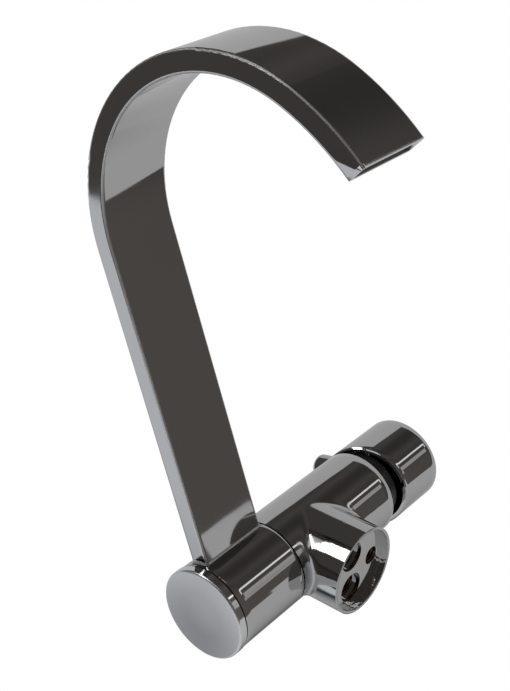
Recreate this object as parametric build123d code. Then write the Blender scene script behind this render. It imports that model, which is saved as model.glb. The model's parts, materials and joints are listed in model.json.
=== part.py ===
from build123d import *
from math import cos, pi, radians, sin, tan
import os

# Folding tap. The barrel lies along X, the base stands on Z = 0 and the upright spout reaches to -Y.

# General
axis_height = 30.7        # barrel axis above the worktop
barrel_radius = 18.0
overrun = 5.0             # how far every cutter runs past the face it opens
running = 0.05            # radial clearance of a turning or sliding fit
face_gap = 0.05           # axial clearance between faces that move on each other
loose = 0.10              # radial clearance of pieces that are only dropped in
edge_round = 0.5          # broken outer edges of the chromed pieces

# Barrel and its base
shoulder_x = -19.3        # left end of the barrel, where the hub turns
barrel_end_x = 39.3       # right end of the barrel, where the cartridge goes in
base_radius = 17.7
blend_radius = 3.0        # cast blend where the base meets the barrel
recess_radius = 16.5
recess_depth = 3.0
relief_x = -14.6          # face of the relief beside the hub
relief_face_radius = 19.5
relief_end_x = -18.5      # where the rounded shoulder of the base runs out
relief_end_radius = 25.0
relief_bulge_height = 0.9  # rise of that rounding over its chord

# Holes in the base
inlet_x = -3.6
inlet_y = 7.3
inlet_seat_radius = 6.0   # seal seat of a tail
inlet_seat_depth = 2.5
inlet_thread_radius = 4.46
inlet_thread_length = 9.0
waterway_radius = 2.6
stud_x = 9.5
stud_thread_radius = 3.4
stud_thread_length = 10.0
thread_lead_in = 0.4

# Journal for the hub
journal_radius = 13.0
journal_seal_inset = 4.7  # from either end of the journal to the middle of a seal
journal_seal_section = 1.6
journal_groove_width = 2.0
water_groove_depth = 1.4
water_groove_width = 7.6
outlet_bore_radius = 3.0
screw_thread_radius = 3.4
screw_thread_length = 8.0

# Spout hub and what holds it
hub_left_margin = 2.1     # hub beyond the arm, towards the end cap
hub_right_margin = 1.4    # hub beyond the arm, towards the barrel
hub_counterbore_depth = 4.95
thrust_washer_thickness = 0.4
thrust_washer_width = 1.2
hub_counterbore_radius = 16.0
outer_washer_thickness = 0.7
retaining_washer_thickness = 1.0
retaining_washer_radius = 15.5
screw_head_radius = 6.5
screw_head_height = 3.2
screw_socket_width = 5.0
screw_socket_depth = 2.0
stop_pin_radius = 0.9
stop_pin_orbit = 15.6     # distance of the stop pin from the barrel axis
stop_pin_depth = 4.0
stop_pin_reach = 2.0
stop_pin_angle = 225.0    # from straight up, turning towards the spout side
fold_travel = 90.0
hub_port_length = 6.0
hub_port_width = 4.0

# Spout arm
arm_width = 30.0
arm_thickness = 7.5
arm_wall = 1.2
arm_corner = 0.9
arm_straight = 137.1      # from the barrel axis to the start of the arch
crown_radius = 55.7       # centre line of the arch
crown_turn = 133.0
mouth_radius = 90.0       # flatter end of the arch
mouth_turn = 19.0
arm_seat_depth = 2.0      # pocket in the hub that takes the foot of the arm
root_fillet = 1.2
fold_angle = 71.2         # as photographed, from upright

# Outlet insert in the mouth of the arm
insert_depth = 1.0        # from the mouth's edge to the insert
insert_length = 5.0
insert_clearance = 0.1
insert_slots = 9
insert_slot_width = 2.0
insert_slot_height = 3.2

# End cap
cap_edge_length = 3.7     # visible rim of the cap
cap_radius = 18.3
cap_rim_round = 0.8
cap_front_thickness = 2.2
cap_spigot_length = 3.3
cap_spigot_wall = 2.6
cap_ring_section = 1.08
cap_groove_width = 1.4
cap_groove_offset = 0.9   # from the hub's end face to the groove

# Cartridge
chamber_floor_x = 20.3
cartridge_radius = 12.5
port_orbit_y = 6.0
port_inlet_z = -3.0
port_outlet_z = 6.0
port_radius = 2.8
port_seal_radius = 4.0
port_seal_thickness = 1.2
port_seal_groove = 1.0
peg_radius = 1.2
peg_length = 2.0
peg_y = 8.5
peg_z = 7.0
base_thickness = 4.5
disc_thickness = 3.0
fixed_disc_radius = 11.2
moving_disc_radius = 8.0
moving_disc_thickness = 2.5
lapped_gap = 0.02
mixing_pocket_radius = 5.2
mixing_pocket_depth = 1.2
carrier_height = 4.0
tongue_height = 1.1
tongue_width = 11.5
tongue_length = 13.0
disc_chamber_radius = 11.8
rotor_flange_radius = 11.6
rotor_flange_thickness = 2.6
rotor_radius = 9.5
rotor_end_x = 43.5
rotor_seal_x = 38.4
rotor_seal_section = 1.1
rotor_groove_width = 1.4
housing_neck_radius = 11.0
housing_shoulder_x = 39.5
housing_end_x = 43.0
nut_thread_radius = 14.4
nut_skirt_length = 7.0
nut_head_radius = 13.3
nut_head_end_x = 42.5
nut_slots = 6
nut_slot_width = 2.4
nut_slot_depth = 1.6

# Black ring that covers the nut
cover_radius = 14.6
cover_wall = 1.1
cover_end_x = 47.0
cover_lip_thickness = 1.2
cover_lip_radius = 12.2
cover_round = 1.0

# Handle. It turns about the barrel axis and tips about a cross pin.
handle_turn_angle = -13.5  # as photographed, the lever leans this far from upright
pivot_x = 41.0
pivot_pin_radius = 1.5
lift_travel = 25.0
spindle_width = 7.0
spindle_foot_x = 37.0
spindle_end_x = 62.0
spindle_neck_radius = 1.3
spindle_ball_radius = 2.3
ball_arm = 8.1            # from the pivot to the centre of the ball
ball_clearance = 0.15
socket_floor_gap = 0.3
socket_mouth_radius = 4.2
slot_clearance = 0.1
knob_radius = 18.05
knob_wall = 1.8
knob_end_x = 71.6
knob_end_thickness = 2.4
knob_end_round = 1.0
rim_gap = 0.4             # smallest gap between the knob's rim and the barrel
rim_slope = 0.26          # slant of the knob's near rim
boss_radius = 7.0
boss_start_x = 49.0
lever_x = 52.5
lever_radius = 5.5
lever_tip = 30.2          # from the barrel axis
lever_tip_round = 2.0
lever_seat_depth = 1.0
lever_shank_radius = 3.0
lever_boss_radius = 5.0

# Places that follow from the sizes above
hub_right_x = shoulder_x - thrust_washer_thickness - 2 * face_gap
arm_centre_x = hub_right_x - hub_right_margin - arm_width / 2
hub_left_x = arm_centre_x - arm_width / 2 - hub_left_margin
cap_face_x = hub_left_x - cap_edge_length
journal_end_x = hub_left_x + hub_counterbore_depth
journal_seals_x = (shoulder_x - journal_seal_inset, journal_end_x + journal_seal_inset)
outlet_bore_end_x = arm_centre_x - outlet_bore_radius / 2
hub_bore_radius = journal_radius + running
hub_step_x = journal_end_x + outer_washer_thickness + 2 * face_gap
hub_radius = barrel_radius
seat_radius = hub_radius - arm_seat_depth
recess_floor_z = -axis_height + recess_depth
water_groove_x = arm_centre_x
mouth_end = crown_turn + mouth_turn
base_x = chamber_floor_x + port_seal_thickness - port_seal_groove
disc_x = base_x + base_thickness
moving_disc_x = disc_x + disc_thickness + lapped_gap
carrier_x = moving_disc_x + moving_disc_thickness
carrier_top_x = carrier_x + carrier_height
rotor_x = carrier_top_x + loose
rotor_neck_x = rotor_x + rotor_flange_thickness
ball_x = pivot_x - ball_arm
housing_bore_radius = rotor_radius + loose
rim_middle_x = barrel_end_x + rim_gap + rim_slope * knob_radius
knob_bore_radius = knob_radius - knob_wall
nut_bore_radius = cartridge_radius + loose
nut_start_x = barrel_end_x - nut_skirt_length


def turned(outline):
    """Solid of revolution about the X axis, from points given as (x, radius)."""
    return revolve(make_face(Polyline(*outline, close=True)), Axis.X)


def ring(start_x, end_x, outer, inner=0.0):
    """Tube or disc about the X axis."""
    return turned([(start_x, inner), (end_x, inner), (end_x, outer), (start_x, outer)])


def rod_x(start_x, end_x, radius, y=0.0, z=0.0):
    """Round bar along X."""
    return Pos((start_x + end_x) / 2, y, z) * Rot(0, 90, 0) * Cylinder(radius, end_x - start_x)


def rod_z(x, y, low, high, radius):
    """Round bar along Z."""
    return Pos(x, y, (low + high) / 2) * Cylinder(radius, high - low)


def o_ring(x, section, inner_radius):
    """Rubber ring about the X axis whose hole has the given radius."""
    return Pos(x, 0, 0) * Rot(0, 90, 0) * Torus(inner_radius + section / 2, section / 2)


def place(shape, turn=0.0):
    """Lift a shape from the barrel axis to its height, turned about that axis."""
    return Pos(0, 0, axis_height) * Rot(turn, 0, 0) * shape


def round_rims(shape, x, radius, amount):
    """Fillet the circular edges of one radius that lie at one X."""
    rims = [
        edge
        for edge in shape.edges().filter_by(GeomType.CIRCLE)
        if abs(edge.radius - radius) < running and abs(edge.center().X - x) < running
    ]
    return fillet(rims, amount)


# Fixed pieces


def base_relief():
    """Cutter for the rounded shoulder of the base beside the hub."""
    far_x = relief_end_x - overrun
    low = (relief_x, relief_face_radius)
    high = (relief_end_x, relief_end_radius)
    outline = [
        Polyline((relief_x, barrel_radius), low),
        SagittaArc(low, high, relief_bulge_height),
        Polyline(high, (far_x, relief_end_radius), (far_x, barrel_radius), (relief_x, barrel_radius)),
    ]
    return revolve(make_face(outline), Axis.X)


def journal():
    """Left spindle of the casting, on which the hub turns."""
    shaft = ring(journal_end_x, shoulder_x, journal_radius)
    groove_floor = hub_bore_radius - journal_seal_section - 2 * lapped_gap
    for x in journal_seals_x:
        half = journal_groove_width / 2
        shaft -= ring(x - half, x + half, journal_radius + overrun, groove_floor)
    half = water_groove_width / 2
    shaft -= ring(
        water_groove_x - half,
        water_groove_x + half,
        journal_radius + overrun,
        journal_radius - water_groove_depth,
    )
    return shaft


def stop_pin_place(depth_x, reach_x, radius):
    """Bar on the orbit of the stop pin."""
    angle = radians(stop_pin_angle)
    return rod_x(depth_x, reach_x, radius, -stop_pin_orbit * sin(angle), stop_pin_orbit * cos(angle))


def barrel_and_base():
    """Barrel and base in one, blended along the curve where they meet."""
    barrel = round_rims(ring(shoulder_x, barrel_end_x, barrel_radius), barrel_end_x, barrel_radius, edge_round)
    casting = barrel + rod_z(0, 0, -axis_height, 0, base_radius)
    meeting = [edge for edge in casting.edges() if edge.geom_type not in (GeomType.CIRCLE, GeomType.LINE)]
    return fillet(meeting, blend_radius)


def mixer_body():
    """Casting: barrel, base and journal, with its waterways and cartridge chamber."""
    casting = barrel_and_base() - base_relief()
    casting -= rod_z(0, 0, -axis_height - overrun, recess_floor_z, recess_radius)
    casting += journal()

    casting -= ring(chamber_floor_x, barrel_end_x + overrun, cartridge_radius + loose)
    casting -= ring(nut_start_x - loose, barrel_end_x + overrun, nut_thread_radius + running)

    thread_top = recess_floor_z + inlet_seat_depth + inlet_thread_length
    for side in (-1, 1):
        y = side * inlet_y
        port_y = side * port_orbit_y
        casting -= rod_z(inlet_x, y, recess_floor_z - recess_depth, recess_floor_z + inlet_seat_depth, inlet_seat_radius)
        casting -= rod_z(inlet_x, y, recess_floor_z, thread_top, inlet_thread_radius)
        casting -= rod_z(inlet_x, y, recess_floor_z, port_inlet_z, waterway_radius)
        casting -= rod_x(inlet_x - waterway_radius / 2, chamber_floor_x + overrun, waterway_radius, port_y, port_inlet_z)
        casting -= rod_x(chamber_floor_x - peg_length - loose, chamber_floor_x + overrun, peg_radius + loose,
                         side * peg_y, peg_z)

    casting -= rod_z(stud_x, 0, recess_floor_z - recess_depth, recess_floor_z + stud_thread_length, stud_thread_radius)
    casting -= Pos(stud_x, 0, recess_floor_z + thread_lead_in / 2) * Cone(
        stud_thread_radius + thread_lead_in, stud_thread_radius, thread_lead_in
    )

    casting -= rod_x(outlet_bore_end_x, chamber_floor_x + overrun, outlet_bore_radius, 0, port_outlet_z)
    casting -= rod_z(water_groove_x + waterway_radius, 0, port_outlet_z, journal_radius + overrun, waterway_radius)
    casting -= rod_x(journal_end_x - overrun, journal_end_x + screw_thread_length, screw_thread_radius)
    casting -= stop_pin_place(shoulder_x - overrun, shoulder_x + stop_pin_depth, stop_pin_radius)
    return casting


def stop_pin():
    """Pin in the shoulder of the barrel that ends the fold in the hub's slot."""
    return stop_pin_place(shoulder_x - stop_pin_reach, shoulder_x + stop_pin_depth, stop_pin_radius)


def journal_seals():
    """Two rubber rings in the grooves of the journal."""
    hole = hub_bore_radius - journal_seal_section - lapped_gap
    return [o_ring(x, journal_seal_section, hole) for x in journal_seals_x]


def thrust_washer():
    """Slip ring between barrel and hub."""
    start = hub_right_x + face_gap
    inner = journal_radius + running
    return ring(start, start + thrust_washer_thickness, inner + thrust_washer_width, inner)


def outer_thrust_washer():
    """Slip ring between the hub's inner step and the retaining washer."""
    start = journal_end_x + face_gap
    return ring(start, start + outer_washer_thickness, retaining_washer_radius, journal_radius + running)


def retaining_washer():
    """Steel washer that keeps the hub on the journal."""
    return ring(journal_end_x - retaining_washer_thickness, journal_end_x, retaining_washer_radius, screw_thread_radius)


def retaining_screw():
    """Socket head screw in the end of the journal."""
    head_x = journal_end_x - retaining_washer_thickness
    tip_x = journal_end_x + screw_thread_length - face_gap
    screw = ring(head_x - screw_head_height, head_x, screw_head_radius)
    screw += ring(head_x, tip_x, screw_thread_radius - lapped_gap)
    socket = Rot(0, 90, 0) * extrude(RegularPolygon(screw_socket_width / 2, 6), screw_socket_depth)
    return screw - Pos(head_x - screw_head_height, 0, 0) * socket


# Spout, built upright


def arm_side(offset, foot, beyond=0.0):
    """Edges along the arm at an offset from its centre line, positive to the outside of the arch."""
    crown_centre = Vector(-crown_radius, arm_straight)
    turn = radians(crown_turn)
    mouth_centre = crown_centre + Vector(cos(turn), sin(turn)) * (crown_radius - mouth_radius)
    shank = Line((offset, foot), (offset, arm_straight))
    crown = CenterArc(crown_centre, crown_radius + offset, 0, crown_turn)
    mouth = CenterArc(mouth_centre, mouth_radius + offset, crown_turn, mouth_turn)
    sides = [shank, crown, mouth]
    if beyond:
        tip = mouth @ 1
        sides.append(Line(tip, tip + (mouth % 1) * beyond))
    return sides


def arm_strip(width, thickness, foot, beyond=0.0):
    """Flat bar that follows the arm."""
    outer = arm_side(thickness / 2, foot, beyond)
    inner = arm_side(-thickness / 2, foot, beyond)
    ends = [Line(outer[-1] @ 1, inner[-1] @ 1), Line(outer[0] @ 0, inner[0] @ 0)]
    face = Plane.YZ * make_face([*outer, *inner, *ends])
    return Pos(arm_centre_x, 0, 0) * extrude(face, width / 2, both=True)


def rounded_arm():
    """Outer form of the arm with its long corners rounded."""
    bar = arm_strip(arm_width, arm_thickness, 0)
    long_edges = [
        edge
        for edge in bar.edges()
        if edge.length > 2 * arm_thickness and abs(abs(edge.center().X - arm_centre_x) - arm_width / 2) < running
    ]
    return fillet(long_edges, arm_corner)


def spout_arm():
    """Bent flat tube with a filleted foot that sits in a pocket of the hub."""
    bar = rounded_arm()
    hub_form = ring(hub_left_x, hub_right_x, hub_radius)
    joined = bar + hub_form
    foot_edges = [
        edge
        for edge in joined.edges()
        if edge.center().Z > 0
        and edge.center().Z < hub_radius + running
        and abs(edge.center().X - arm_centre_x) < arm_width / 2 + running
        and abs(edge.center().Y) < arm_thickness / 2 + running
    ]
    arm = fillet(foot_edges, root_fillet) - hub_form
    arm += bar & ring(hub_left_x, hub_right_x, hub_radius, seat_radius)
    cavity = arm_strip(arm_width - 2 * arm_wall, arm_thickness - 2 * arm_wall, 0, overrun)
    return arm - (cavity - ring(hub_left_x, hub_right_x, seat_radius - arm_wall))


def hub_stop_slot():
    """Cutter for the curved slot in which the stop pin travels."""
    depth_x = hub_right_x - stop_pin_reach
    slot_radius = stop_pin_radius + slot_clearance
    middle = stop_pin_angle - fold_travel / 2
    outline = Pos(depth_x, 0) * Rectangle(
        overrun + stop_pin_reach, 2 * slot_radius, align=(Align.MIN, Align.CENTER)
    )
    arc = revolve(Pos(0, stop_pin_orbit) * outline, Axis.X, fold_travel)
    slot = Rot(middle - fold_travel / 2 + 90, 0, 0) * arc
    for angle in (middle - fold_travel / 2, middle + fold_travel / 2):
        slot += Rot(angle, 0, 0) * rod_x(depth_x, hub_right_x + overrun, slot_radius, 0, stop_pin_orbit)
    return slot


def spout_hub():
    """Turning collar with the arm's pocket, its water port and the stop slot."""
    hub = ring(hub_left_x, hub_right_x, hub_radius, hub_bore_radius)
    hub = round_rims(hub, hub_left_x, hub_radius, edge_round / 2)
    hub = round_rims(hub, hub_right_x, hub_radius, edge_round / 2)
    hub -= ring(hub_left_x - overrun, hub_step_x, hub_counterbore_radius)
    hub -= rounded_arm() - ring(hub_left_x - overrun, hub_right_x + overrun, seat_radius)
    port = extrude(SlotOverall(hub_port_length, hub_port_width), hub_radius)
    hub -= Pos(arm_centre_x, 0, 0) * port
    return hub - hub_stop_slot()


def outlet_insert():
    """Slotted flow straightener inside the mouth of the arm."""
    turn = radians(crown_turn)
    centre = Vector(-crown_radius, arm_straight) + Vector(cos(turn), sin(turn)) * (crown_radius - mouth_radius)
    half = arm_thickness / 2 - arm_wall - insert_clearance
    degrees_per_length = 180 / pi / mouth_radius
    last = mouth_end - insert_depth * degrees_per_length
    sweep = insert_length * degrees_per_length
    outer = CenterArc(centre, mouth_radius + half, last - sweep, sweep)
    inner = CenterArc(centre, mouth_radius - half, last - sweep, sweep)
    face = make_face([outer, inner, Line(outer @ 0, inner @ 0), Line(outer @ 1, inner @ 1)])
    width = arm_width - 2 * arm_wall - 2 * insert_clearance
    insert = extrude(Plane.YZ * face, width / 2, both=True)

    middle = radians(last - sweep / 2)
    hole_centre = centre + Vector(cos(middle), sin(middle)) * mouth_radius
    pitch = width / insert_slots
    hole = Box(insert_slot_width, insert_slot_height, insert_length + overrun)
    for index in range(insert_slots):
        x = (index - (insert_slots - 1) / 2) * pitch
        insert -= Pos(x, hole_centre.X, hole_centre.Y) * Rot(last - sweep / 2, 0, 0) * hole
    return Pos(arm_centre_x, 0, 0) * insert


def end_cap():
    """Cover of the hub, with a spigot that holds a rubber ring."""
    recess_x = cap_face_x + cap_front_thickness
    spigot_radius = hub_counterbore_radius - loose
    spigot_end_x = hub_left_x + cap_spigot_length
    bore = spigot_radius - cap_spigot_wall
    cap = turned([
        (cap_face_x, 0),
        (recess_x, 0),
        (recess_x, bore),
        (spigot_end_x, bore),
        (spigot_end_x, spigot_radius),
        (hub_left_x, spigot_radius),
        (hub_left_x, cap_radius),
        (cap_face_x, cap_radius),
    ])
    groove_x = hub_left_x + cap_groove_offset
    floor = hub_counterbore_radius - cap_ring_section - 2 * lapped_gap
    cap -= ring(groove_x, groove_x + cap_groove_width, spigot_radius + overrun, floor)
    cap = round_rims(cap, cap_face_x, cap_radius, cap_rim_round)
    return round_rims(cap, hub_left_x, cap_radius, edge_round / 2)


def cap_ring():
    """Rubber ring that grips the end cap in the hub."""
    middle = hub_left_x + cap_groove_offset + cap_groove_width / 2
    return o_ring(middle, cap_ring_section, hub_counterbore_radius - cap_ring_section - lapped_gap)


# Cartridge


def ports(start_x, end_x, radius):
    """Three bars through the inlet and outlet ports."""
    bars = rod_x(start_x, end_x, radius, 0, port_outlet_z)
    for side in (-1, 1):
        bars += rod_x(start_x, end_x, radius, side * port_orbit_y, port_inlet_z)
    return bars


def port_seals():
    """Three rubber rings on the floor of the cartridge chamber."""
    rings = ports(chamber_floor_x, chamber_floor_x + port_seal_thickness, port_seal_radius)
    return rings - ports(chamber_floor_x - overrun, chamber_floor_x + overrun, port_radius)


def cartridge_base():
    """Foot of the cartridge with its three ports and two locating pegs."""
    foot = ring(base_x, disc_x, cartridge_radius)
    foot -= ports(base_x - overrun, base_x + port_seal_groove, port_seal_radius)
    foot -= ports(base_x, disc_x + overrun, port_radius)
    for side in (-1, 1):
        foot += rod_x(chamber_floor_x - peg_length, base_x, peg_radius, side * peg_y, peg_z)
    return foot


def fixed_disc():
    """Lower ceramic disc, keyed by its ports."""
    return ring(disc_x, disc_x + disc_thickness, fixed_disc_radius) - ports(disc_x - overrun, disc_x + overrun, port_radius)


def moving_disc():
    """Upper ceramic disc with the mixing pocket in its lapped face."""
    disc = ring(moving_disc_x, carrier_x, moving_disc_radius)
    return disc - ring(moving_disc_x - overrun, moving_disc_x + mixing_pocket_depth, mixing_pocket_radius)


def disc_carrier():
    """Driver of the moving disc, with a tongue that slides in the rotor and a socket for the ball."""
    carrier = ring(carrier_x, carrier_top_x, moving_disc_radius)
    tongue_top = carrier_top_x + tongue_height
    carrier += Pos(carrier_top_x + tongue_height / 2, 0, 0) * Box(tongue_height, tongue_width, tongue_length)
    socket = spindle_ball_radius + ball_clearance
    floor = ball_x - spindle_ball_radius - socket_floor_gap
    carrier -= turned([
        (floor, 0),
        (floor, socket),
        (ball_x, socket),
        (tongue_top, socket_mouth_radius),
        (tongue_top + overrun, socket_mouth_radius),
        (tongue_top + overrun, 0),
    ])
    return carrier


def cartridge_housing():
    """Shell of the cartridge: disc chamber below, rotor bore above."""
    return turned([
        (disc_x, disc_chamber_radius),
        (disc_x, cartridge_radius),
        (housing_shoulder_x, cartridge_radius),
        (housing_shoulder_x, housing_neck_radius),
        (housing_end_x, housing_neck_radius),
        (housing_end_x, housing_bore_radius),
        (rotor_neck_x + loose, housing_bore_radius),
        (rotor_neck_x + loose, disc_chamber_radius),
    ])


def cartridge_nut():
    """Ring nut that clamps the cartridge in the barrel."""
    nut = turned([
        (nut_start_x, nut_bore_radius),
        (nut_start_x, nut_thread_radius),
        (barrel_end_x, nut_thread_radius),
        (barrel_end_x, nut_head_radius),
        (nut_head_end_x, nut_head_radius),
        (nut_head_end_x, housing_neck_radius + loose),
        (housing_shoulder_x, housing_neck_radius + loose),
        (housing_shoulder_x, nut_bore_radius),
    ])
    notch = Pos(nut_head_end_x, 0, nut_head_radius) * Box(2 * nut_slot_depth, nut_slot_width, 2 * nut_slot_depth)
    for index in range(nut_slots):
        nut -= Rot(index * 360 / nut_slots, 0, 0) * notch
    return nut


def cover_ring():
    """Black sleeve with a rounded lip that hides the nut."""
    inner = cover_radius - cover_wall
    lip_x = cover_end_x - cover_lip_thickness
    start_x = barrel_end_x + face_gap
    cover = turned([
        (start_x, inner),
        (start_x, cover_radius),
        (cover_end_x, cover_radius),
        (cover_end_x, cover_lip_radius),
        (lip_x, cover_lip_radius),
        (lip_x, inner),
    ])
    return round_rims(cover, cover_end_x, cover_radius, cover_round)


# Handle set, built with the lever straight up


def tipped_slot(half_width, start_x, end_x):
    """Wedge through the rotor that leaves room for the spindle as it tips."""
    slope = tan(radians(lift_travel))
    half = spindle_width / 2 + slot_clearance
    low = half + (pivot_x - start_x) * slope
    high = half + (end_x - pivot_x) * slope
    stretch = half / cos(radians(lift_travel))
    outline = Polyline(
        (start_x, -half),
        (pivot_x, -stretch),
        (end_x, -high - stretch + half),
        (end_x, half),
        (pivot_x, stretch),
        (start_x, low + stretch - half),
        close=True,
    )
    return extrude(Plane.XZ * make_face(outline), half_width, both=True)


def cartridge_rotor():
    """Turning core of the cartridge, slotted for the spindle and grooved for the carrier."""
    rotor = turned([
        (rotor_x, 0),
        (rotor_x, rotor_flange_radius),
        (rotor_neck_x, rotor_flange_radius),
        (rotor_neck_x, rotor_radius),
        (rotor_end_x, rotor_radius),
        (rotor_end_x, 0),
    ])
    groove_top = carrier_top_x + tongue_height + loose
    groove = Box(2 * (groove_top - rotor_x), tongue_width + 2 * running, 4 * rotor_radius)
    rotor -= Pos(rotor_x, 0, 0) * groove
    rotor -= tipped_slot(spindle_width / 2 + running, rotor_x - overrun, rotor_end_x + overrun)
    half = rotor_groove_width / 2
    floor = housing_bore_radius - rotor_seal_section - 2 * lapped_gap
    rotor -= ring(rotor_seal_x - half, rotor_seal_x + half, rotor_radius + overrun, floor)
    return rotor - Pos(pivot_x, 0, 0) * Rot(90, 0, 0) * Cylinder(pivot_pin_radius, 4 * rotor_radius)


def rotor_seal():
    """Rubber ring between rotor and housing."""
    return o_ring(rotor_seal_x, rotor_seal_section, housing_bore_radius - rotor_seal_section - lapped_gap)


def pivot_pin():
    """Cross pin on which the spindle tips."""
    return Pos(pivot_x, 0, 0) * Rot(90, 0, 0) * Cylinder(pivot_pin_radius, 2 * (rotor_radius - loose))


def cartridge_spindle():
    """Square stem with a ball foot."""
    stem = Pos((spindle_foot_x + spindle_end_x) / 2, 0, 0) * Box(spindle_end_x - spindle_foot_x, spindle_width, spindle_width)
    stem += ring(ball_x, spindle_foot_x, spindle_neck_radius)
    stem += Pos(ball_x, 0, 0) * Sphere(spindle_ball_radius)
    eye = Pos(pivot_x, 0, 0) * Rot(90, 0, 0) * Cylinder(pivot_pin_radius + running, 2 * spindle_width)
    return stem - eye


def handle_knob():
    """Hollow knob with a slanted near rim, a central boss and a boss for the lever."""
    shell = ring(boss_start_x - 4 * overrun, knob_end_x, knob_radius)
    shell = round_rims(shell, knob_end_x, knob_radius, knob_end_round)
    inner_end_x = knob_end_x - knob_end_thickness
    shell -= ring(boss_start_x - 5 * overrun, inner_end_x, knob_bore_radius)

    cut_far = rim_middle_x - 8 * overrun
    reach = knob_radius + overrun
    slant = Polyline(
        (cut_far, -reach),
        (rim_middle_x + rim_slope * reach, -reach),
        (rim_middle_x - rim_slope * reach, reach),
        (cut_far, reach),
        close=True,
    )
    shell -= extrude(Plane.XZ * make_face(slant), reach, both=True)

    core = ring(boss_start_x, inner_end_x, boss_radius)
    core += rod_z(lever_x, 0, 0, knob_bore_radius, lever_boss_radius) - ring(
        boss_start_x - overrun, inner_end_x, knob_radius + overrun, knob_bore_radius
    )
    core -= ring(boss_start_x - 2 * overrun, boss_start_x, boss_radius + 2 * overrun)
    knob = shell + core
    socket_end_x = spindle_end_x + face_gap
    socket_width = spindle_width + 2 * running
    knob -= Pos((boss_start_x + socket_end_x) / 2 - overrun, 0, 0) * Box(
        socket_end_x - boss_start_x + 2 * overrun, socket_width, socket_width
    )
    knob -= rod_z(lever_x, 0, 0, knob_radius + overrun, lever_shank_radius + running)
    seat = knob_radius - lever_seat_depth
    return knob - rod_z(lever_x, 0, seat, knob_radius + overrun, lever_radius + running)


def handle_lever():
    """Short round lever whose shank clamps the spindle."""
    seat = knob_radius - lever_seat_depth
    lever = rod_z(lever_x, 0, seat, lever_tip, lever_radius)
    lever = fillet(lever.edges().group_by(Axis.Z)[-1], lever_tip_round)
    return lever + rod_z(lever_x, 0, spindle_width / 2, seat, lever_shank_radius)


fixed = {
    "mixer_body": mixer_body(),
    "stop_pin": stop_pin(),
    "journal_seals": Compound(journal_seals()),
    "thrust_washer": thrust_washer(),
    "outer_thrust_washer": outer_thrust_washer(),
    "retaining_washer": retaining_washer(),
    "retaining_screw": retaining_screw(),
    "port_seals": port_seals(),
    "cartridge_base": cartridge_base(),
    "fixed_disc": fixed_disc(),
    "cartridge_housing": cartridge_housing(),
    "cartridge_nut": cartridge_nut(),
    "cover_ring": cover_ring(),
}
spout = {
    "spout_hub": spout_hub(),
    "spout_arm": spout_arm(),
    "outlet_insert": outlet_insert(),
    "end_cap": end_cap(),
    "cap_ring": cap_ring(),
}
handle = {
    "cartridge_rotor": cartridge_rotor(),
    "rotor_seal": rotor_seal(),
    "pivot_pin": pivot_pin(),
    "moving_disc": moving_disc(),
    "disc_carrier": disc_carrier(),
    "cartridge_spindle": cartridge_spindle(),
    "handle_knob": handle_knob(),
    "handle_lever": handle_lever(),
}

os.makedirs("parts", exist_ok=True)
for pieces, turn in ((fixed, 0.0), (spout, fold_angle), (handle, handle_turn_angle)):
    for node, shape in pieces.items():
        export_step(place(shape, turn), f"parts/{node}.step")
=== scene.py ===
import json
import math
from functools import reduce

import bpy
from mathutils import Matrix, Vector


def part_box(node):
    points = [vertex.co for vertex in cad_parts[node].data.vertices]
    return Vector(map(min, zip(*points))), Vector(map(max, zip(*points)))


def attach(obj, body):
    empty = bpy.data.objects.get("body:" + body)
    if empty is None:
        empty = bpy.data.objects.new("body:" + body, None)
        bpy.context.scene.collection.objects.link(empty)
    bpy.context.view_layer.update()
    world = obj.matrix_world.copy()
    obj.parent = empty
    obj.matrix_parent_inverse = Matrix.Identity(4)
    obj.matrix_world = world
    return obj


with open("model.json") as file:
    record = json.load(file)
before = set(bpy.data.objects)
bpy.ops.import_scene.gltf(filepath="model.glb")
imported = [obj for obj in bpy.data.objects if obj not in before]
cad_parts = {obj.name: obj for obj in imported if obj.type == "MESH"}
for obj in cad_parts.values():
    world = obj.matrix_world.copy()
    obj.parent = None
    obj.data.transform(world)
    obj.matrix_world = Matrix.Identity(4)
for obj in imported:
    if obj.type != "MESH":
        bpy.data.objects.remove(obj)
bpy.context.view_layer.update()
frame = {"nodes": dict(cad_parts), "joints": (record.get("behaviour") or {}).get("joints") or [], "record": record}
nodes = frame["nodes"]
joints = {joint["name"]: joint for joint in frame["joints"]}
MM = 0.001

# Threads in the base, on the walls of the record's mounts
THREADS = {
    "cold_inlet": {"pitch": 1.0 * MM, "depth": 0.30 * MM},
    "hot_inlet": {"pitch": 1.0 * MM, "depth": 0.30 * MM},
    "stud_hole": {"pitch": 1.25 * MM, "depth": 0.38 * MM},
}
THREAD_STEPS = 48          # segments in one turn
THREAD_ROOT = 0.05 * MM    # how far the ridge starts inside the wall
THREAD_FOOT_SHARE = 0.44   # half of the ridge's foot and crest, shares of the pitch
THREAD_CREST_SHARE = 0.07
THREAD_START = 0.5         # turns left free at each end of the hole
THREAD_ROUGHNESS = (0.30, 0.42)
THREAD_PALER = 1.4         # how much paler its worn patches are

# Noise patterns over a piece: scale per metre and detail
PLATING_PATCHES = (60.0, 3.0)
POLISHING_WAVES = (35.0, 1.0)
BASE_RIPPLE = (130.0, 2.0)
RECESS_STREAKS = (230.0, 2.0)
CAP_CLOUD = (45.0, 4.0)
CAP_GRAIN = (4000.0, 2.0)
PLASTIC_CLOUD = (120.0, 3.0)
METAL_CLOUD = (150.0, 3.0)
TURNING_MARKS = (1800.0, 1.0)
CARD_CLOUD = (2.0, 1.0)
FLOOR_PATCHES = (3.0, 2.0)
NOISE_RANGE = (0.3, 0.7)   # where most of a pattern's values lie

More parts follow.
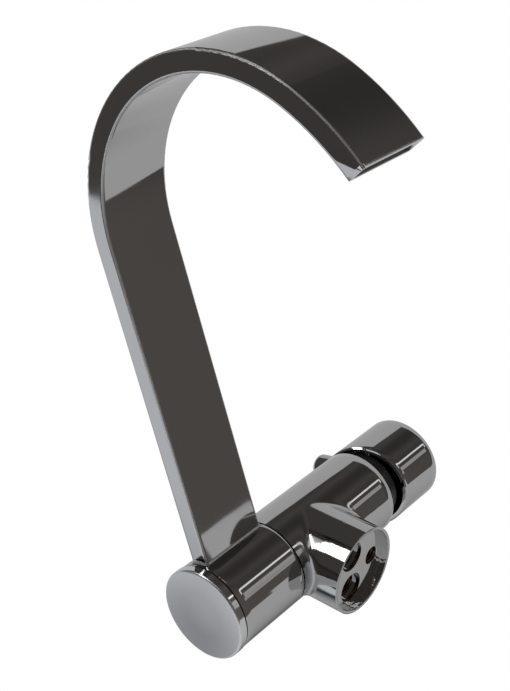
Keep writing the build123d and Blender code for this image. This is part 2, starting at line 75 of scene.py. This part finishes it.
# Plating
CHROME_GREY = (0.555, 0.555, 0.555)
CHROME_DARKER = 0.97       # its darker patches
CHROME_ROUGHNESS = (0.035, 0.06)
WAVE_HEIGHT = 0.06 * MM    # height of the polishing's waves
END_SLOPE = 0.30           # steepest slope where the ends of the round pieces fall away
BARREL_END = 4.2 * MM      # lengths over which they do
HUB_NEAR_END = 4.0 * MM
HUB_FAR_END = 1.4 * MM
KNOB_END = 3.5 * MM
KNOB_RIM_END = 2.6 * MM
SOFTENING_SAMPLES = 16     # rays that average the normals of softened edges

# Casting
AXIS_HEIGHT = joints["spout_fold"]["pos_m"][2]  # the barrel's axis above the base
BASE_RADIUS = 17.7 * MM
RECESS_RADIUS = 16.5 * MM
RECESS_DEPTH = 3.0 * MM
ZONE_MARGIN = 0.1 * MM     # keeps the edge of a zone off the faces of the casting
CAST_WAVE_HEIGHT = 0.12 * MM
BASE_WAVE_HEIGHT = 0.07 * MM        # shorter waves low on the wall of the base
BASE_WAVE_FADE = (12.0 * MM, 19.2 * MM)
RECESS_WAVE_HEIGHT = 0.50 * MM      # rough polish inside the recess of the base
BASE_RIM_ROUNDNESS = 900.0  # how strongly the base's rim is rounded over, per metre
NECK_BLEND = 3.5 * MM      # softening where the base meets the barrel
NECK_Z = (9.0 * MM, 30.0 * MM)
NECK_X = 17.0 * MM
# Inside the base's holes: bare brass, darkened with painted shade
BORE_BRASS_SHADE_COLOUR = (0.085, 0.055, 0.040)
BORE_ROUGHNESS = 0.32
BORE_EDGE = 0.15 * MM      # how far the dark brass and painted shade of the holes reach past their walls
BORE_TOP = 14.0 * MM

# End cap, and the painted shadow in its seam to the hub
CAP_COLOURS = ((0.58, 0.585, 0.59), (0.64, 0.645, 0.65))
CAP_ROUGHNESS = (0.36, 0.06)     # on the face and on its rim
CAP_FACE = (0.15 * MM, 0.9 * MM)  # depths between which the one becomes the other
CAP_DOME = 0.16            # radius of the cap's slight dome, metres
CAP_GRAIN_HEIGHT = 0.003 * MM
CAP_HIGHLIGHT_REACH = (9.0 * MM, 17.5 * MM)  # distances from the axis over which a painted highlight makes its face paler
# Colour of the painted highlight at the cap's rim
CAP_HIGHLIGHT_COLOUR = (0.74, 0.745, 0.75)
# Painted shadow in the seam between cap and hub
SEAM_SHADOW_COLOUR = (0.02, 0.02, 0.02)
SEAM_SHADOW_WIDTH = 0.42 * MM     # to either side of the joint

# Knob's slanted rim
KNOB_RADIUS = 18.05 * MM
KNOB_RIM_CHAMFER = 0.7 * MM  # width of the broken edge
KNOB_RIM_NORMAL = (-0.9678, -0.0587, -0.2447)
KNOB_RIM_PLACE = (44.8 * MM, -16.6 * MM, 33.0 * MM)

# Arm's edges and mouth
ARM_EDGE = 0.7 * MM        # softening of the arm's edges
ARM_EDGE_ROUGHNESS = 0.58  # dulling of its rounded corners
MOUTH_PLACE = (-36.2 * MM, -182.05 * MM, -25.39 * MM)
MOUTH_OUT = (0.0, 0.685, -0.729)
MOUTH_LIP = 1.3 * MM       # width of the shallow chamfer round the mouth
MOUTH_LIP_SLOPE = 0.165
MOUTH_SHARP = 1.6 * MOUTH_LIP  # how far behind the mouth the edges aren't softened
MOUTH_CORNER = (-51.2 * MM, -179.32 * MM, -22.82 * MM)
MOUTH_CORNER_OUT = (0.0, 0.988, 0.155)
MOUTH_CORNER_END = 5.5 * MM

# Plastics, rubber and ceramic: dark and light colour, roughness, scale of the grain
PLASTICS = {
    "black_plastic": ((0.008, 0.008, 0.009), (0.016, 0.016, 0.017), (0.30, 0.42), 2500.0),
    "grey_plastic": ((0.070, 0.072, 0.075), (0.10, 0.10, 0.105), (0.40, 0.52), 2500.0),
    "white_plastic": ((0.70, 0.70, 0.67), (0.78, 0.78, 0.75), (0.35, 0.48), 2500.0),
    "ceramic": ((0.80, 0.78, 0.73), (0.86, 0.84, 0.80), (0.12, 0.20), 1200.0),
    "seal_rubber": ((0.012, 0.012, 0.012), (0.022, 0.022, 0.022), (0.50, 0.65), 2500.0),
}
GRAIN_DETAIL = 2.0
GRAIN_HEIGHT = 0.02 * MM
GRAIN_STRENGTH = 0.5

# Bare metals: dark and light colour, roughness
METALS = {
    "brass": ((0.62, 0.42, 0.15), (0.72, 0.52, 0.22), (0.18, 0.30)),
    "stainless_steel": ((0.50, 0.50, 0.50), (0.58, 0.58, 0.59), (0.22, 0.34)),
}
MARKS_HEIGHT = 0.01 * MM
MARKS_STRENGTH = 0.4

# Camera, from the photograph's perspective
CAMERA_PLACE = (-0.31518, -0.31106, -0.20831)
CAMERA_RIGHT = (0.63557, 0.00446, -0.77203)
CAMERA_UP = (0.38331, -0.86985, 0.31053)
CAMERA_LENS = 66.25
CAMERA_SENSOR = 36.0
CAMERA_CLIP = (0.01, 20.0)

# Pale sheet behind the tap and a nearer strip of it below
SHEET_NORMAL = (0.542, 0.627, 0.560)
SHEET_ALONG = (0.83, -0.50, -0.24)   # its near edge runs this way
SHEET_DISTANCE = 0.30
SHEET_COLOUR = (0.52, 0.52, 0.52)
SHEET_LEFT_COLOUR = (0.70, 0.72, 0.76)   # brighter and cooler towards the end cap's side
SHEET_LEFT_X = (-0.35, 0.0)
SHADES = (                           # soft shadows of the tap on the sheet: middle, radius, level left
    ((0.10, 0.215, 0.05), 0.22, 0.30),
    ((-0.30, 0.45, 0.27), 0.42, 0.05),
)
SHEET_OUTLINE = (                    # along that edge and across it, metres
    (-2.5, -0.68),
    (4.0, -0.68),
    (4.0, 0.72),
    (0.547, 0.72),
    (1.034, 1.6),
    (-2.5, 1.6),
)
LOWER_EDGE = (0.0045, -0.129)        # Y and Z of the near edge of the lower strip
LOWER_RISE = (0.55, 0.36)            # Y and Z of its far edge, close to the sheet
LOWER_OUTLINE = (                    # X in metres, share of the way from near edge to far edge
    (-0.6, 0.028),
    (0.060, 0.028),
    (0.068, 0.0),
    (0.108, 0.0),
    (0.125, 0.03),
    (0.19, 0.057),
    (1.1, 0.06),
    (1.1, 1.0),
    (-0.6, 1.0),
)

# Bright card far out on the end cap's side
SIDE_CARD_X = -0.80
SIDE_CARD_Y = (0.15, 1.40)
SIDE_CARD_Z = (-1.00, 0.32)
SIDE_LEVEL = 1.0
CARD_DARKER = 0.95                   # its faint clouds

# Dark room that polished metal mirrors, and the soft light that the rest gets
ROOM_TONE = (1.09, 1.0, 0.93)
ROOM_BANDS = {                       # brightness by height, from straight down to straight up
    0.0: 0.105,
    0.14: 0.105,
    0.27: 0.04,
    0.34: 0.085,
    0.42: 0.045,
    0.50: 0.036,
    0.58: 0.045,
    0.66: 0.085,
    0.74: 0.04,
    1.0: 0.10,
}
AMBIENT = (0.55, 0.55, 0.55)
WHITE = (1.0, 1.0, 1.0)

# Lamps; their sizes are in metres, and their brightness is what a mirror of them shows
LAMP_AIM = (0.0, -0.02, 0.03)
FRONT_DIRECTION = (-0.47, -0.755, 0.46)
FRONT_REACH = 1.2
FRONT_BOX = (0.62, 0.40, 3.5)        # width, height, brightness
FRONT_LOW = (0.35, 0.80, 0.7)
FRONT_LOW_SHIFT = (-0.10, -0.62)     # sideways and up from the front box
FILL = (0.8, 0.8, 1.6)
FILL_PLACES = {                      # from the point that the lamps aim at
    "fill_left": (-1.0, -0.5, 1.2),
    "fill_right": (1.0, -0.6, 1.1),
}
STRIP_REACH = 1.2                    # distance of the long lamps from the barrel's axis
STRIPS = {                           # X, degrees about the axis, length, width, brightness
    "low_strip": (1.05, -135.0, 0.90, 0.085, 1.05),
    "low_strip_left": (0.58, -140.0, 0.12, 0.22, 0.85),
    "low_strip_right": (1.65, -140.0, 0.34, 0.24, 0.85),
    "low_panel": (1.03, -151.0, 0.60, 0.20, 0.34),
    "low_panel_left": (0.76, -159.5, 0.36, 0.14, 0.30),
}

# Floor
FLOOR_HEIGHT = -0.22
FLOOR_X = (-0.32, 0.10)
FLOOR_Y = (-0.42, 0.16)
FLOOR_COLOURS = ((0.86, 0.86, 0.86), (0.90, 0.90, 0.90))
FLOOR_ROUGHNESS = 0.8
FLOOR_WHITE_SHARE = 0.75             # how much of what the camera sees is plain white


class Field:
    """A number that varies over a surface; arithmetic on it adds math nodes to its tree."""

    def __init__(self, tree, socket):
        self.tree = tree
        self.socket = socket

    def apply(self, operation, *others):
        """Math node on this number and others."""
        node = self.tree.nodes.new("ShaderNodeMath")
        node.operation = operation
        for socket, value in zip(node.inputs, (self, *others)):
            feed(self.tree, socket, value)
        return Field(self.tree, node.outputs["Value"])

    def __add__(self, other):
        return self.apply("ADD", other)

    def __sub__(self, other):
        return self.apply("SUBTRACT", other)

    def __mul__(self, other):
        return self.apply("MULTIPLY", other)

    def __abs__(self):
        return self.apply("ABSOLUTE")

    def root(self):
        return self.apply("SQRT")

    def above(self, limit):
        """1 where it is above the limit, and 0 elsewhere."""
        return self.apply("GREATER_THAN", limit)

    def below(self, limit):
        """1 where it is below the limit, and 0 elsewhere."""
        return self.apply("LESS_THAN", limit)

    def at_least(self, other):
        return self.apply("MAXIMUM", other)

    def at_most(self, other):
        return self.apply("MINIMUM", other)


def feed(tree, socket, value):
    """Give an input a number, a colour, a field or another node's output."""
    if isinstance(value, Field):
        value = value.socket
    if isinstance(value, bpy.types.NodeSocket):
        tree.links.new(value, socket)
    else:
        socket.default_value = value


def add_node(tree, kind, inputs, **settings):
    """Shader node with some of its inputs, by name or number, and settings."""
    node = tree.nodes.new("ShaderNode" + kind)
    for name, value in settings.items():
        setattr(node, name, value)
    for name, value in inputs.items():
        feed(tree, node.inputs[name], value)
    return node


def own_place(tree):
    """Position in the piece's own coordinates, in metres."""
    return add_node(tree, "TexCoord", {}).outputs["Object"]


def part_of(tree, vector, axis):
    """One coordinate of a vector."""
    return Field(tree, add_node(tree, "SeparateXYZ", {"Vector": vector}).outputs[axis])


def own(tree, axis):
    """One of the piece's own coordinates."""
    return part_of(tree, own_place(tree), axis)


def distance(first, second):
    """Distance from a line, given the two coordinates across it."""
    return (first * first + second * second).root()


def axis_distance(tree):
    """Distance from the barrel's axis."""
    return distance(own(tree, "Y"), own(tree, "Z") - AXIS_HEIGHT)


def beyond(tree, direction, origin):
    """Distance from a point along a direction, positive beyond it."""
    reach = add_node(tree, "VectorMath", {0: own_place(tree), 1: direction}, operation="DOT_PRODUCT")
    return Field(tree, reach.outputs["Value"]) - Vector(direction).dot(Vector(origin))


def noise(tree, pattern):
    """Noise over the piece's own coordinates."""
    scale, detail = pattern
    inputs = {"Vector": own_place(tree), "Scale": scale, "Detail": detail}
    return Field(tree, add_node(tree, "TexNoise", inputs).outputs["Fac"])


def spread(field, low, high, start, end, smooth=False):
    """Map the stretch from start to end to the values from low to high, and clamp the rest."""
    inputs = {"Value": field, "From Min": start, "From Max": end, "To Min": low, "To Max": high}
    kind = "SMOOTHSTEP" if smooth else "LINEAR"
    node = add_node(field.tree, "MapRange", inputs, interpolation_type=kind)
    return Field(field.tree, node.outputs["Result"])


def mix_colours(share, first, second):
    """Mix two colours, plain ones or outputs, by the second one's share."""
    colours = [(*colour, 1.0) if isinstance(colour, tuple) else colour for colour in (first, second)]
    inputs = {"Factor": share, "A": colours[0], "B": colours[1]}
    return add_node(share.tree, "Mix", inputs, data_type="RGBA").outputs["Result"]


def mix_shaders(share, first, second):
    """Mix two shaders by the second one's share."""
    return add_node(share.tree, "MixShader", {"Fac": share, 1: first, 2: second}).outputs["Shader"]


def ray_kind(tree, name):
    """1 for rays of this kind, and 0 for others."""
    return Field(tree, add_node(tree, "LightPath", {}).outputs[f"Is {name} Ray"])


def new_material(name, metallic=0.0):
    """Node material with a Principled shader; returns the material, its tree and the shader."""
    material = bpy.data.materials.new(name)
    material.use_nodes = True
    tree = material.node_tree
    shader = tree.nodes["Principled BSDF"]
    shader.inputs["Metallic"].default_value = metallic
    return material, tree, shader


def finish_surface(shader, colour, roughness, height, scale=1.0, strength=1.0, radius=None):
    """Give a shader its colour, roughness and relief; a radius softens the edges too."""
    tree = shader.id_data
    inputs = {"Height": height, "Distance": scale, "Strength": strength}
    if radius is not None:
        soft = add_node(tree, "Bevel", {"Radius": radius}, samples=SOFTENING_SAMPLES)
        inputs["Normal"] = soft.outputs["Normal"]
    relief = add_node(tree, "Bump", inputs)
    feed(tree, shader.inputs["Base Color"], colour)
    feed(tree, shader.inputs["Roughness"], roughness)
    feed(tree, shader.inputs["Normal"], relief.outputs["Normal"])


def soft_fall(inside, zone):
    """Height falling away over the last of a zone, from the distance already gone into it."""
    depth = inside.at_least(0.0)
    return depth * depth * (-0.5 * END_SLOPE / zone)


def end_of(node, side, zone):
    """Soft end of a round piece along X; side is +1 or -1."""
    low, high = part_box(node)
    x_end = low.x if side < 0 else high.x
    return lambda tree: soft_fall((own(tree, "X") - x_end) * side + zone, zone)


def knob_rim(tree):
    """Slanted rim of the knob: a soft fall towards it and a broken outer edge at 45 degrees."""
    past_rim = beyond(tree, KNOB_RIM_NORMAL, KNOB_RIM_PLACE)
    cut = (axis_distance(tree) + past_rim + (KNOB_RIM_CHAMFER - KNOB_RADIUS)).at_least(0.0)
    return soft_fall(past_rim + KNOB_RIM_END, KNOB_RIM_END) - cut


def arm_mouth(tree):
    """Shallow lip round the arm's mouth and a soft fall to its inner corner."""
    lip = (beyond(tree, MOUTH_OUT, MOUTH_PLACE) + MOUTH_LIP).at_least(0.0)
    inside = beyond(tree, MOUTH_CORNER_OUT, MOUTH_CORNER) + MOUTH_CORNER_END
    height = lip * -MOUTH_LIP_SLOPE + soft_fall(inside, MOUTH_CORNER_END)
    return height * own(tree, "Z").below(0.0)


def arm_softening(tree):
    """Softening radius of the arm's edges; none at the lip of its mouth."""
    at_lip = beyond(tree, MOUTH_OUT, MOUTH_PLACE).above(-MOUTH_SHARP)
    return at_lip * own(tree, "Z").below(0.0) * -ARM_EDGE + ARM_EDGE


def arm_corners(tree):
    """1 halfway round the arm's long rounded corners, 0 on its flat faces."""
    normal = add_node(tree, "TexCoord", {}).outputs["Normal"]
    sideways = part_of(tree, normal, "X")
    square = sideways * sideways
    return square * (square * -1.0 + 1.0) * 4.0


def base_waves(tree):
    """Short uneven waves left by polishing on the wall of the base."""
    low = spread(own(tree, "Z"), 1.0, 0.0, *BASE_WAVE_FADE)
    return noise(tree, BASE_RIPPLE) * BASE_WAVE_HEIGHT * low


def base_recess(tree):
    """Uneven polish on the wall of the recess and the rounded rim round it."""
    reach = distance(own(tree, "X"), own(tree, "Y"))
    height = own(tree, "Z")
    wall = reach.below(RECESS_RADIUS + ZONE_MARGIN) * height.below(RECESS_DEPTH - ZONE_MARGIN)
    streaks = noise(tree, RECESS_STREAKS) * RECESS_WAVE_HEIGHT * wall
    offset = reach - (BASE_RADIUS + RECESS_RADIUS) / 2
    return streaks + offset * offset * -BASE_RIM_ROUNDNESS * height.below(ZONE_MARGIN)


def neck_softening(tree):
    """Softening radius of the casting: only where the base meets the barrel."""
    height = own(tree, "Z")
    level = height.above(NECK_Z[0]) * height.below(NECK_Z[1])
    return level * abs(own(tree, "X")).below(NECK_X) * NECK_BLEND


def base_bores(tree):
    """1 inside the base's holes, where their brass is darkened with painted shade, and 0 elsewhere."""
    walls = []
    for mount in frame["record"]["mounts"]:
        if mount["name"] in THREADS:
            x, y = mount["pos_m"][:2]
            radius = mount["dims"]["r_mm"] * MM + BORE_EDGE
            walls.append(distance(own(tree, "X") - x, own(tree, "Y") - y) - radius)
    return reduce(Field.at_most, walls).below(0.0) * own(tree, "Z").below(BORE_TOP)


def cap_seam_shadow(tree):
    """1 where cap and hub meet, where the seam's shadow is painted, and 0 elsewhere."""
    return abs(own(tree, "X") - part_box("spout_hub")[0].x).below(SEAM_SHADOW_WIDTH)


def chrome(name, shapes=(), wave_height=WAVE_HEIGHT, spots=(), softening=None):
    """Polished plating with faint waves and a little uneven gloss, over the shapes of its piece.

    A spot is a share, the colour that it has instead, if any, and what it adds to the roughness.
    """
    material, tree, shader = new_material(name, metallic=1.0)
    patches = noise(tree, PLATING_PATCHES)
    darker = tuple(CHROME_DARKER * part for part in CHROME_GREY)
    colour = mix_colours(patches, darker, CHROME_GREY)
    roughness = spread(patches, *CHROME_ROUGHNESS, *NOISE_RANGE)
    for find_share, own_colour, duller in spots:
        share = find_share(tree)
        roughness = share * duller + roughness
        if own_colour:
            colour = mix_colours(share, colour, own_colour)
    height = noise(tree, POLISHING_WAVES) * wave_height
    for shape in shapes:
        height = height + shape(tree)
    radius = softening(tree) if softening else None
    finish_surface(shader, colour, roughness, height, radius=radius)
    return material


def satin(name):
    """Fine matt plating of the cap's domed face, polished towards its rim, with a painted highlight that makes it
    paler there and a painted shadow at its seam.
    """
    material, tree, shader = new_material(name, metallic=1.0)
    reach = axis_distance(tree)
    colour = mix_colours(noise(tree, CAP_CLOUD), *CAP_COLOURS)
    # Painted highlight: paler towards the rim
    colour = mix_colours(spread(reach, 0.0, 1.0, *CAP_HIGHLIGHT_REACH), colour, CAP_HIGHLIGHT_COLOUR)
    # Painted shadow in the seam to the hub
    colour = mix_colours(cap_seam_shadow(tree), colour, SEAM_SHADOW_COLOUR)
    depth = own(tree, "X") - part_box("end_cap")[0].x
    roughness = spread(depth, *CAP_ROUGHNESS, *CAP_FACE)
    grain = noise(tree, CAP_GRAIN) * CAP_GRAIN_HEIGHT
    finish_surface(shader, colour, roughness, reach * reach * (-0.5 / CAP_DOME) + grain)
    return material


def plastic(name, dark, light, roughness, grain_scale):
    """Moulded plastic, rubber or ceramic with a fine grain."""
    material, tree, shader = new_material(name)
    cloud = noise(tree, PLASTIC_CLOUD)
    colour = mix_colours(cloud, dark, light)
    gloss = spread(cloud, *roughness, *NOISE_RANGE)
    grain = noise(tree, (grain_scale, GRAIN_DETAIL))
    finish_surface(shader, colour, gloss, grain, GRAIN_HEIGHT, GRAIN_STRENGTH)
    return material


def metal(name, dark, light, roughness):
    """Bare machined metal with turning marks."""
    material, tree, shader = new_material(name, metallic=1.0)
    cloud = noise(tree, METAL_CLOUD)
    colour = mix_colours(cloud, dark, light)
    gloss = spread(cloud, *roughness, *NOISE_RANGE)
    marks = noise(tree, TURNING_MARKS)
    finish_surface(shader, colour, gloss, marks, MARKS_HEIGHT, MARKS_STRENGTH)
    return material


def slot_materials():
    """One material for each of the record's slots."""
    materials = {"chrome_plate": chrome("chrome_plate"), "satin_chrome": satin("satin_chrome")}
    for name, facts in PLASTICS.items():
        materials[name] = plastic(name, *facts)
    for name, facts in METALS.items():
        materials[name] = metal(name, *facts)
    return materials


def own_materials():
    """Plating of the larger chromed pieces, with the soft shapes of each."""
    return {
        "mixer_body": chrome(
            "chrome_body",
            [end_of("mixer_body", 1, BARREL_END), base_waves, base_recess],
            CAST_WAVE_HEIGHT,
            # Dark brass in the holes, darkened with painted shade
            spots=[(base_bores, BORE_BRASS_SHADE_COLOUR, BORE_ROUGHNESS)],
            softening=neck_softening,
        ),
        "spout_hub": chrome(
            "chrome_hub",
            [end_of("spout_hub", -1, HUB_NEAR_END), end_of("spout_hub", 1, HUB_FAR_END)],
            # Painted shadow in the seam where the hub meets the cap
            spots=[(cap_seam_shadow, SEAM_SHADOW_COLOUR, 0.0)],
        ),
        "spout_arm": chrome(
            "chrome_arm",
            [arm_mouth],
            spots=[(arm_corners, None, ARM_EDGE_ROUGHNESS)],
            softening=arm_softening,
        ),
        "handle_knob": chrome("chrome_knob", [end_of("handle_knob", 1, KNOB_END), knob_rim]),
    }


def dress_nodes():
    """Give every CAD node its slot's material; the larger chromed pieces have their own."""
    by_slot = slot_materials()
    by_node = own_materials()
    for part in frame["record"]["subparts"]:
        mesh = nodes[part["node"]].data
        mesh.materials.clear()
        mesh.materials.append(by_node.get(part["node"], by_slot[part["material_slot"]]))


def add_object(name, data):
    """Object in the scene for a mesh, lamp or camera."""
    thing = bpy.data.objects.new(name, data)
    bpy.context.scene.collection.objects.link(thing)
    return thing


def add_mesh(name, vertices, faces, material):
    """Object in the scene with a mesh of its own."""
    mesh = bpy.data.meshes.new(name)
    mesh.from_pydata(vertices, [], faces)
    mesh.update()
    mesh.materials.append(material)
    return add_object(name, mesh)


def thread_ridge(name, mount, pitch, depth, material):
    """Helical ridge on the wall of one of the base's threaded holes."""
    radius = mount["dims"]["r_mm"] * MM
    length = mount["dims"]["length_mm"] * MM
    x, y, z = mount["pos_m"]
    section = (
        (radius + THREAD_ROOT, -THREAD_FOOT_SHARE * pitch),
        (radius - depth, -THREAD_CREST_SHARE * pitch),
        (radius - depth, THREAD_CREST_SHARE * pitch),
        (radius + THREAD_ROOT, THREAD_FOOT_SHARE * pitch),
    )
    size = len(section)
    count = int((length / pitch - 2 * THREAD_START) * THREAD_STEPS)
    vertices, faces = [], []
    for step in range(count + 1):
        turns = step / THREAD_STEPS
        angle = 2 * math.pi * turns
        rise = z + (turns + THREAD_START) * pitch
        for r, offset in section:
            vertices.append((x + r * math.cos(angle), y + r * math.sin(angle), rise + offset))
    for step in range(count):
        base = step * size
        for corner in range(size):
            after = (corner + 1) % size
            faces.append((base + corner, base + size + corner, base + size + after, base + after))
    faces.append(tuple(range(size)))
    faces.append(tuple(count * size + corner for corner in reversed(range(size))))
    return add_mesh(name, vertices, faces, material)


def add_threads():
    """Threads of the base's three holes, in the holes' bare brass, darkened with painted shade."""
    paler = tuple(THREAD_PALER * part for part in BORE_BRASS_SHADE_COLOUR)
    shaded_brass = metal("bore_brass_and_shade", BORE_BRASS_SHADE_COLOUR, paler, THREAD_ROUGHNESS)
    mounts = {mount["name"]: mount for mount in frame["record"]["mounts"]}
    for name, facts in THREADS.items():
        ridge = thread_ridge(name + "_thread", mounts[name], facts["pitch"], facts["depth"], shaded_brass)
        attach(ridge, "mixer")


def room_bands(tree):
    """Colour of the dark room, banded by height."""
    bands = add_node(tree, "ValToRGB", {})
    bands.color_ramp.interpolation = "B_SPLINE"
    stops = bands.color_ramp.elements
    while len(stops) < len(ROOM_BANDS):
        stops.new(0.5)  # its place follows
    for stop, (position, level) in zip(stops, ROOM_BANDS.items()):
        stop.position = position
        stop.color = (*(level * tone for tone in ROOM_TONE), 1.0)
    direction = add_node(tree, "TexCoord", {}).outputs["Generated"]
    height = spread(part_of(tree, direction, "Z"), 0.0, 1.0, -1.0, 1.0)
    feed(tree, bands.inputs["Fac"], height)
    return bands.outputs["Color"]


def make_world():
    """White to the camera; polished metal sees a dark room with lighter bands above and below."""
    world = bpy.data.worlds.new("studio")
    world.use_nodes = True
    bpy.context.scene.world = world
    tree = world.node_tree
    tree.nodes.clear()
    colours = ((*AMBIENT, 1.0), room_bands(tree), (*WHITE, 1.0))
    ambient, mirrored, seen = (
        add_node(tree, "Background", {"Color": colour}).outputs["Background"] for colour in colours
    )
    metal_rays = ray_kind(tree, "Glossy").at_least(ray_kind(tree, "Transmission"))
    lit = mix_shaders(metal_rays, ambient, mirrored)
    surface = mix_shaders(ray_kind(tree, "Camera"), lit, seen)
    add_node(tree, "OutputWorld", {"Surface": surface})


def glow_material(name):
    """Material that only glows; returns the material, its tree and the glow."""
    material = bpy.data.materials.new(name)
    material.use_nodes = True
    tree = material.node_tree
    tree.nodes.clear()
    glow = add_node(tree, "Emission", {})
    add_node(tree, "OutputMaterial", {"Surface": glow.outputs["Emission"]})
    return material, tree, glow


def sheet_paper():
    """Pale paper, brighter towards the end cap's side, with the tap's soft shadows."""
    material, tree, glow = glow_material("sheet_paper")
    place = add_node(tree, "NewGeometry", {}).outputs["Position"]
    side = spread(part_of(tree, place, "X"), 1.0, 0.0, *SHEET_LEFT_X)
    feed(tree, glow.inputs["Color"], mix_colours(side, SHEET_COLOUR, SHEET_LEFT_COLOUR))
    shades = []
    for middle, radius, left in SHADES:
        reach = add_node(tree, "VectorMath", {0: place, 1: middle}, operation="DISTANCE")
        reach = Field(tree, reach.outputs["Value"])
        shades.append(spread(reach, left, 1.0, 0.0, radius, smooth=True))
    feed(tree, glow.inputs["Strength"], reduce(Field.__mul__, shades))
    return material


def plain_glow(name, level):
    """Glow of a card, even but for faint clouds."""
    material, tree, glow = glow_material(name)
    strength = spread(noise(tree, CARD_CLOUD), CARD_DARKER * level, level, *NOISE_RANGE)
    feed(tree, glow.inputs["Strength"], strength)
    return material


def add_card(name, corners, material):
    """Flat card that only reflections and soft light show."""
    card = add_mesh(name, corners, [range(len(corners))], material)
    card.visible_camera = False
    card.visible_shadow = False


def rectangle(across, up):
    """Corners of a rectangle, in order, from its two ranges."""
    return [(across[0], up[0]), (across[1], up[0]), (across[1], up[1]), (across[0], up[1])]


def add_cards():
    """Pale sheet behind and below the tap, and the card on the end cap's side."""
    paper = sheet_paper()
    normal = Vector(SHEET_NORMAL).normalized()
    along = Vector(SHEET_ALONG)
    along = (along - along.dot(normal) * normal).normalized()
    across = normal.cross(along)
    outline = [SHEET_DISTANCE * normal + a * along + b * across for a, b in SHEET_OUTLINE]
    add_card("sheet", outline, paper)
    near, far = Vector((0.0, *LOWER_EDGE)), Vector((0.0, *LOWER_RISE))
    lower = [Vector((x, 0.0, 0.0)) + near.lerp(far, share) for x, share in LOWER_OUTLINE]
    add_card("lower_sheet", lower, paper)
    side = [(SIDE_CARD_X, y, z) for y, z in rectangle(SIDE_CARD_Y, SIDE_CARD_Z)]
    add_card("side_card", side, plain_glow("side_glow", SIDE_LEVEL))


def area_lamp(name, width, height, brightness):
    """Soft rectangular lamp that the camera doesn't see."""
    data = bpy.data.lights.new(name, "AREA")
    data.shape = "RECTANGLE"
    data.size = width
    data.size_y = height
    data.energy = brightness * math.pi * width * height
    lamp = add_object(name, data)
    lamp.visible_camera = False
    return lamp


def add_aimed_lamp(name, place, target, facts, glossy=True):
    """Lamp at a place, aimed at a point."""
    lamp = area_lamp(name, *facts)
    lamp.location = place
    lamp.rotation_mode = "QUATERNION"
    lamp.rotation_quaternion = (target - place).to_track_quat("-Z", "Y")
    lamp.visible_glossy = glossy


def add_strip(name, x, angle, length, width, brightness):
    """Long lamp parallel to the barrel, facing the barrel's axis."""
    turn = math.radians(angle)
    back = Vector((0.0, math.sin(turn), math.cos(turn)))
    along = Vector((1.0, 0.0, 0.0))
    facing = Matrix((along, back.cross(along), back)).transposed()
    place = Vector((x, 0.0, AXIS_HEIGHT)) + STRIP_REACH * back
    lamp = area_lamp(name, length, width, brightness)
    lamp.matrix_world = Matrix.Translation(place) @ facing.to_4x4()


def add_lamps():
    """Two front lamps, the long lamps below, and fill light that metal doesn't mirror."""
    aim = Vector(LAMP_AIM)
    front = Vector(FRONT_DIRECTION).normalized()
    sideways = front.cross(Vector((0.0, 0.0, 1.0))).normalized()
    upwards = sideways.cross(front)
    box_place = aim + FRONT_REACH * front
    low_place = box_place + FRONT_LOW_SHIFT[0] * sideways + FRONT_LOW_SHIFT[1] * upwards
    add_aimed_lamp("front_box", box_place, aim, FRONT_BOX)
    add_aimed_lamp("front_low", low_place, aim, FRONT_LOW)
    for name, facts in STRIPS.items():
        add_strip(name, *facts)
    for name, offset in FILL_PLACES.items():
        add_aimed_lamp(name, aim + Vector(offset), aim, FILL, glossy=False)


def floor_paint():
    """Pale paint, whitened to the camera and clear when seen from below."""
    material, tree, shader = new_material("floor_paint")
    colour = mix_colours(noise(tree, FLOOR_PATCHES), *FLOOR_COLOURS)
    feed(tree, shader.inputs["Base Color"], colour)
    feed(tree, shader.inputs["Roughness"], FLOOR_ROUGHNESS)
    white = add_node(tree, "Emission", {"Color": (*WHITE, 1.0)}).outputs["Emission"]
    clear = add_node(tree, "BsdfTransparent", {}).outputs["BSDF"]
    from_below = Field(tree, add_node(tree, "NewGeometry", {}).outputs["Backfacing"])
    paint = mix_shaders(ray_kind(tree, "Camera") * FLOOR_WHITE_SHARE, shader.outputs["BSDF"], white)
    surface = mix_shaders(from_below, paint, clear)
    feed(tree, tree.nodes["Material Output"].inputs["Surface"], surface)
    return material


def add_floor():
    """Pale floor well below the tap, which hangs over it at the photograph's angle."""
    corners = [(x, y, FLOOR_HEIGHT) for x, y in rectangle(FLOOR_X, FLOOR_Y)]
    floor = add_mesh("floor", corners, [range(len(corners))], floor_paint())
    floor.visible_glossy = False


def add_camera():
    """Camera at the photograph's viewpoint."""
    data = bpy.data.cameras.new("camera")
    data.sensor_width = CAMERA_SENSOR
    data.lens = CAMERA_LENS
    data.clip_start, data.clip_end = CAMERA_CLIP
    right, up = Vector(CAMERA_RIGHT), Vector(CAMERA_UP)
    turn = Matrix((right, up, right.cross(up))).transposed()
    camera = add_object("camera", data)
    camera.matrix_world = Matrix.Translation(CAMERA_PLACE) @ turn.to_4x4()
    bpy.context.scene.camera = camera


bpy.context.scene.view_settings.view_transform = "Standard"
dress_nodes()
add_threads()
make_world()
add_cards()
add_lamps()
add_floor()
add_camera()
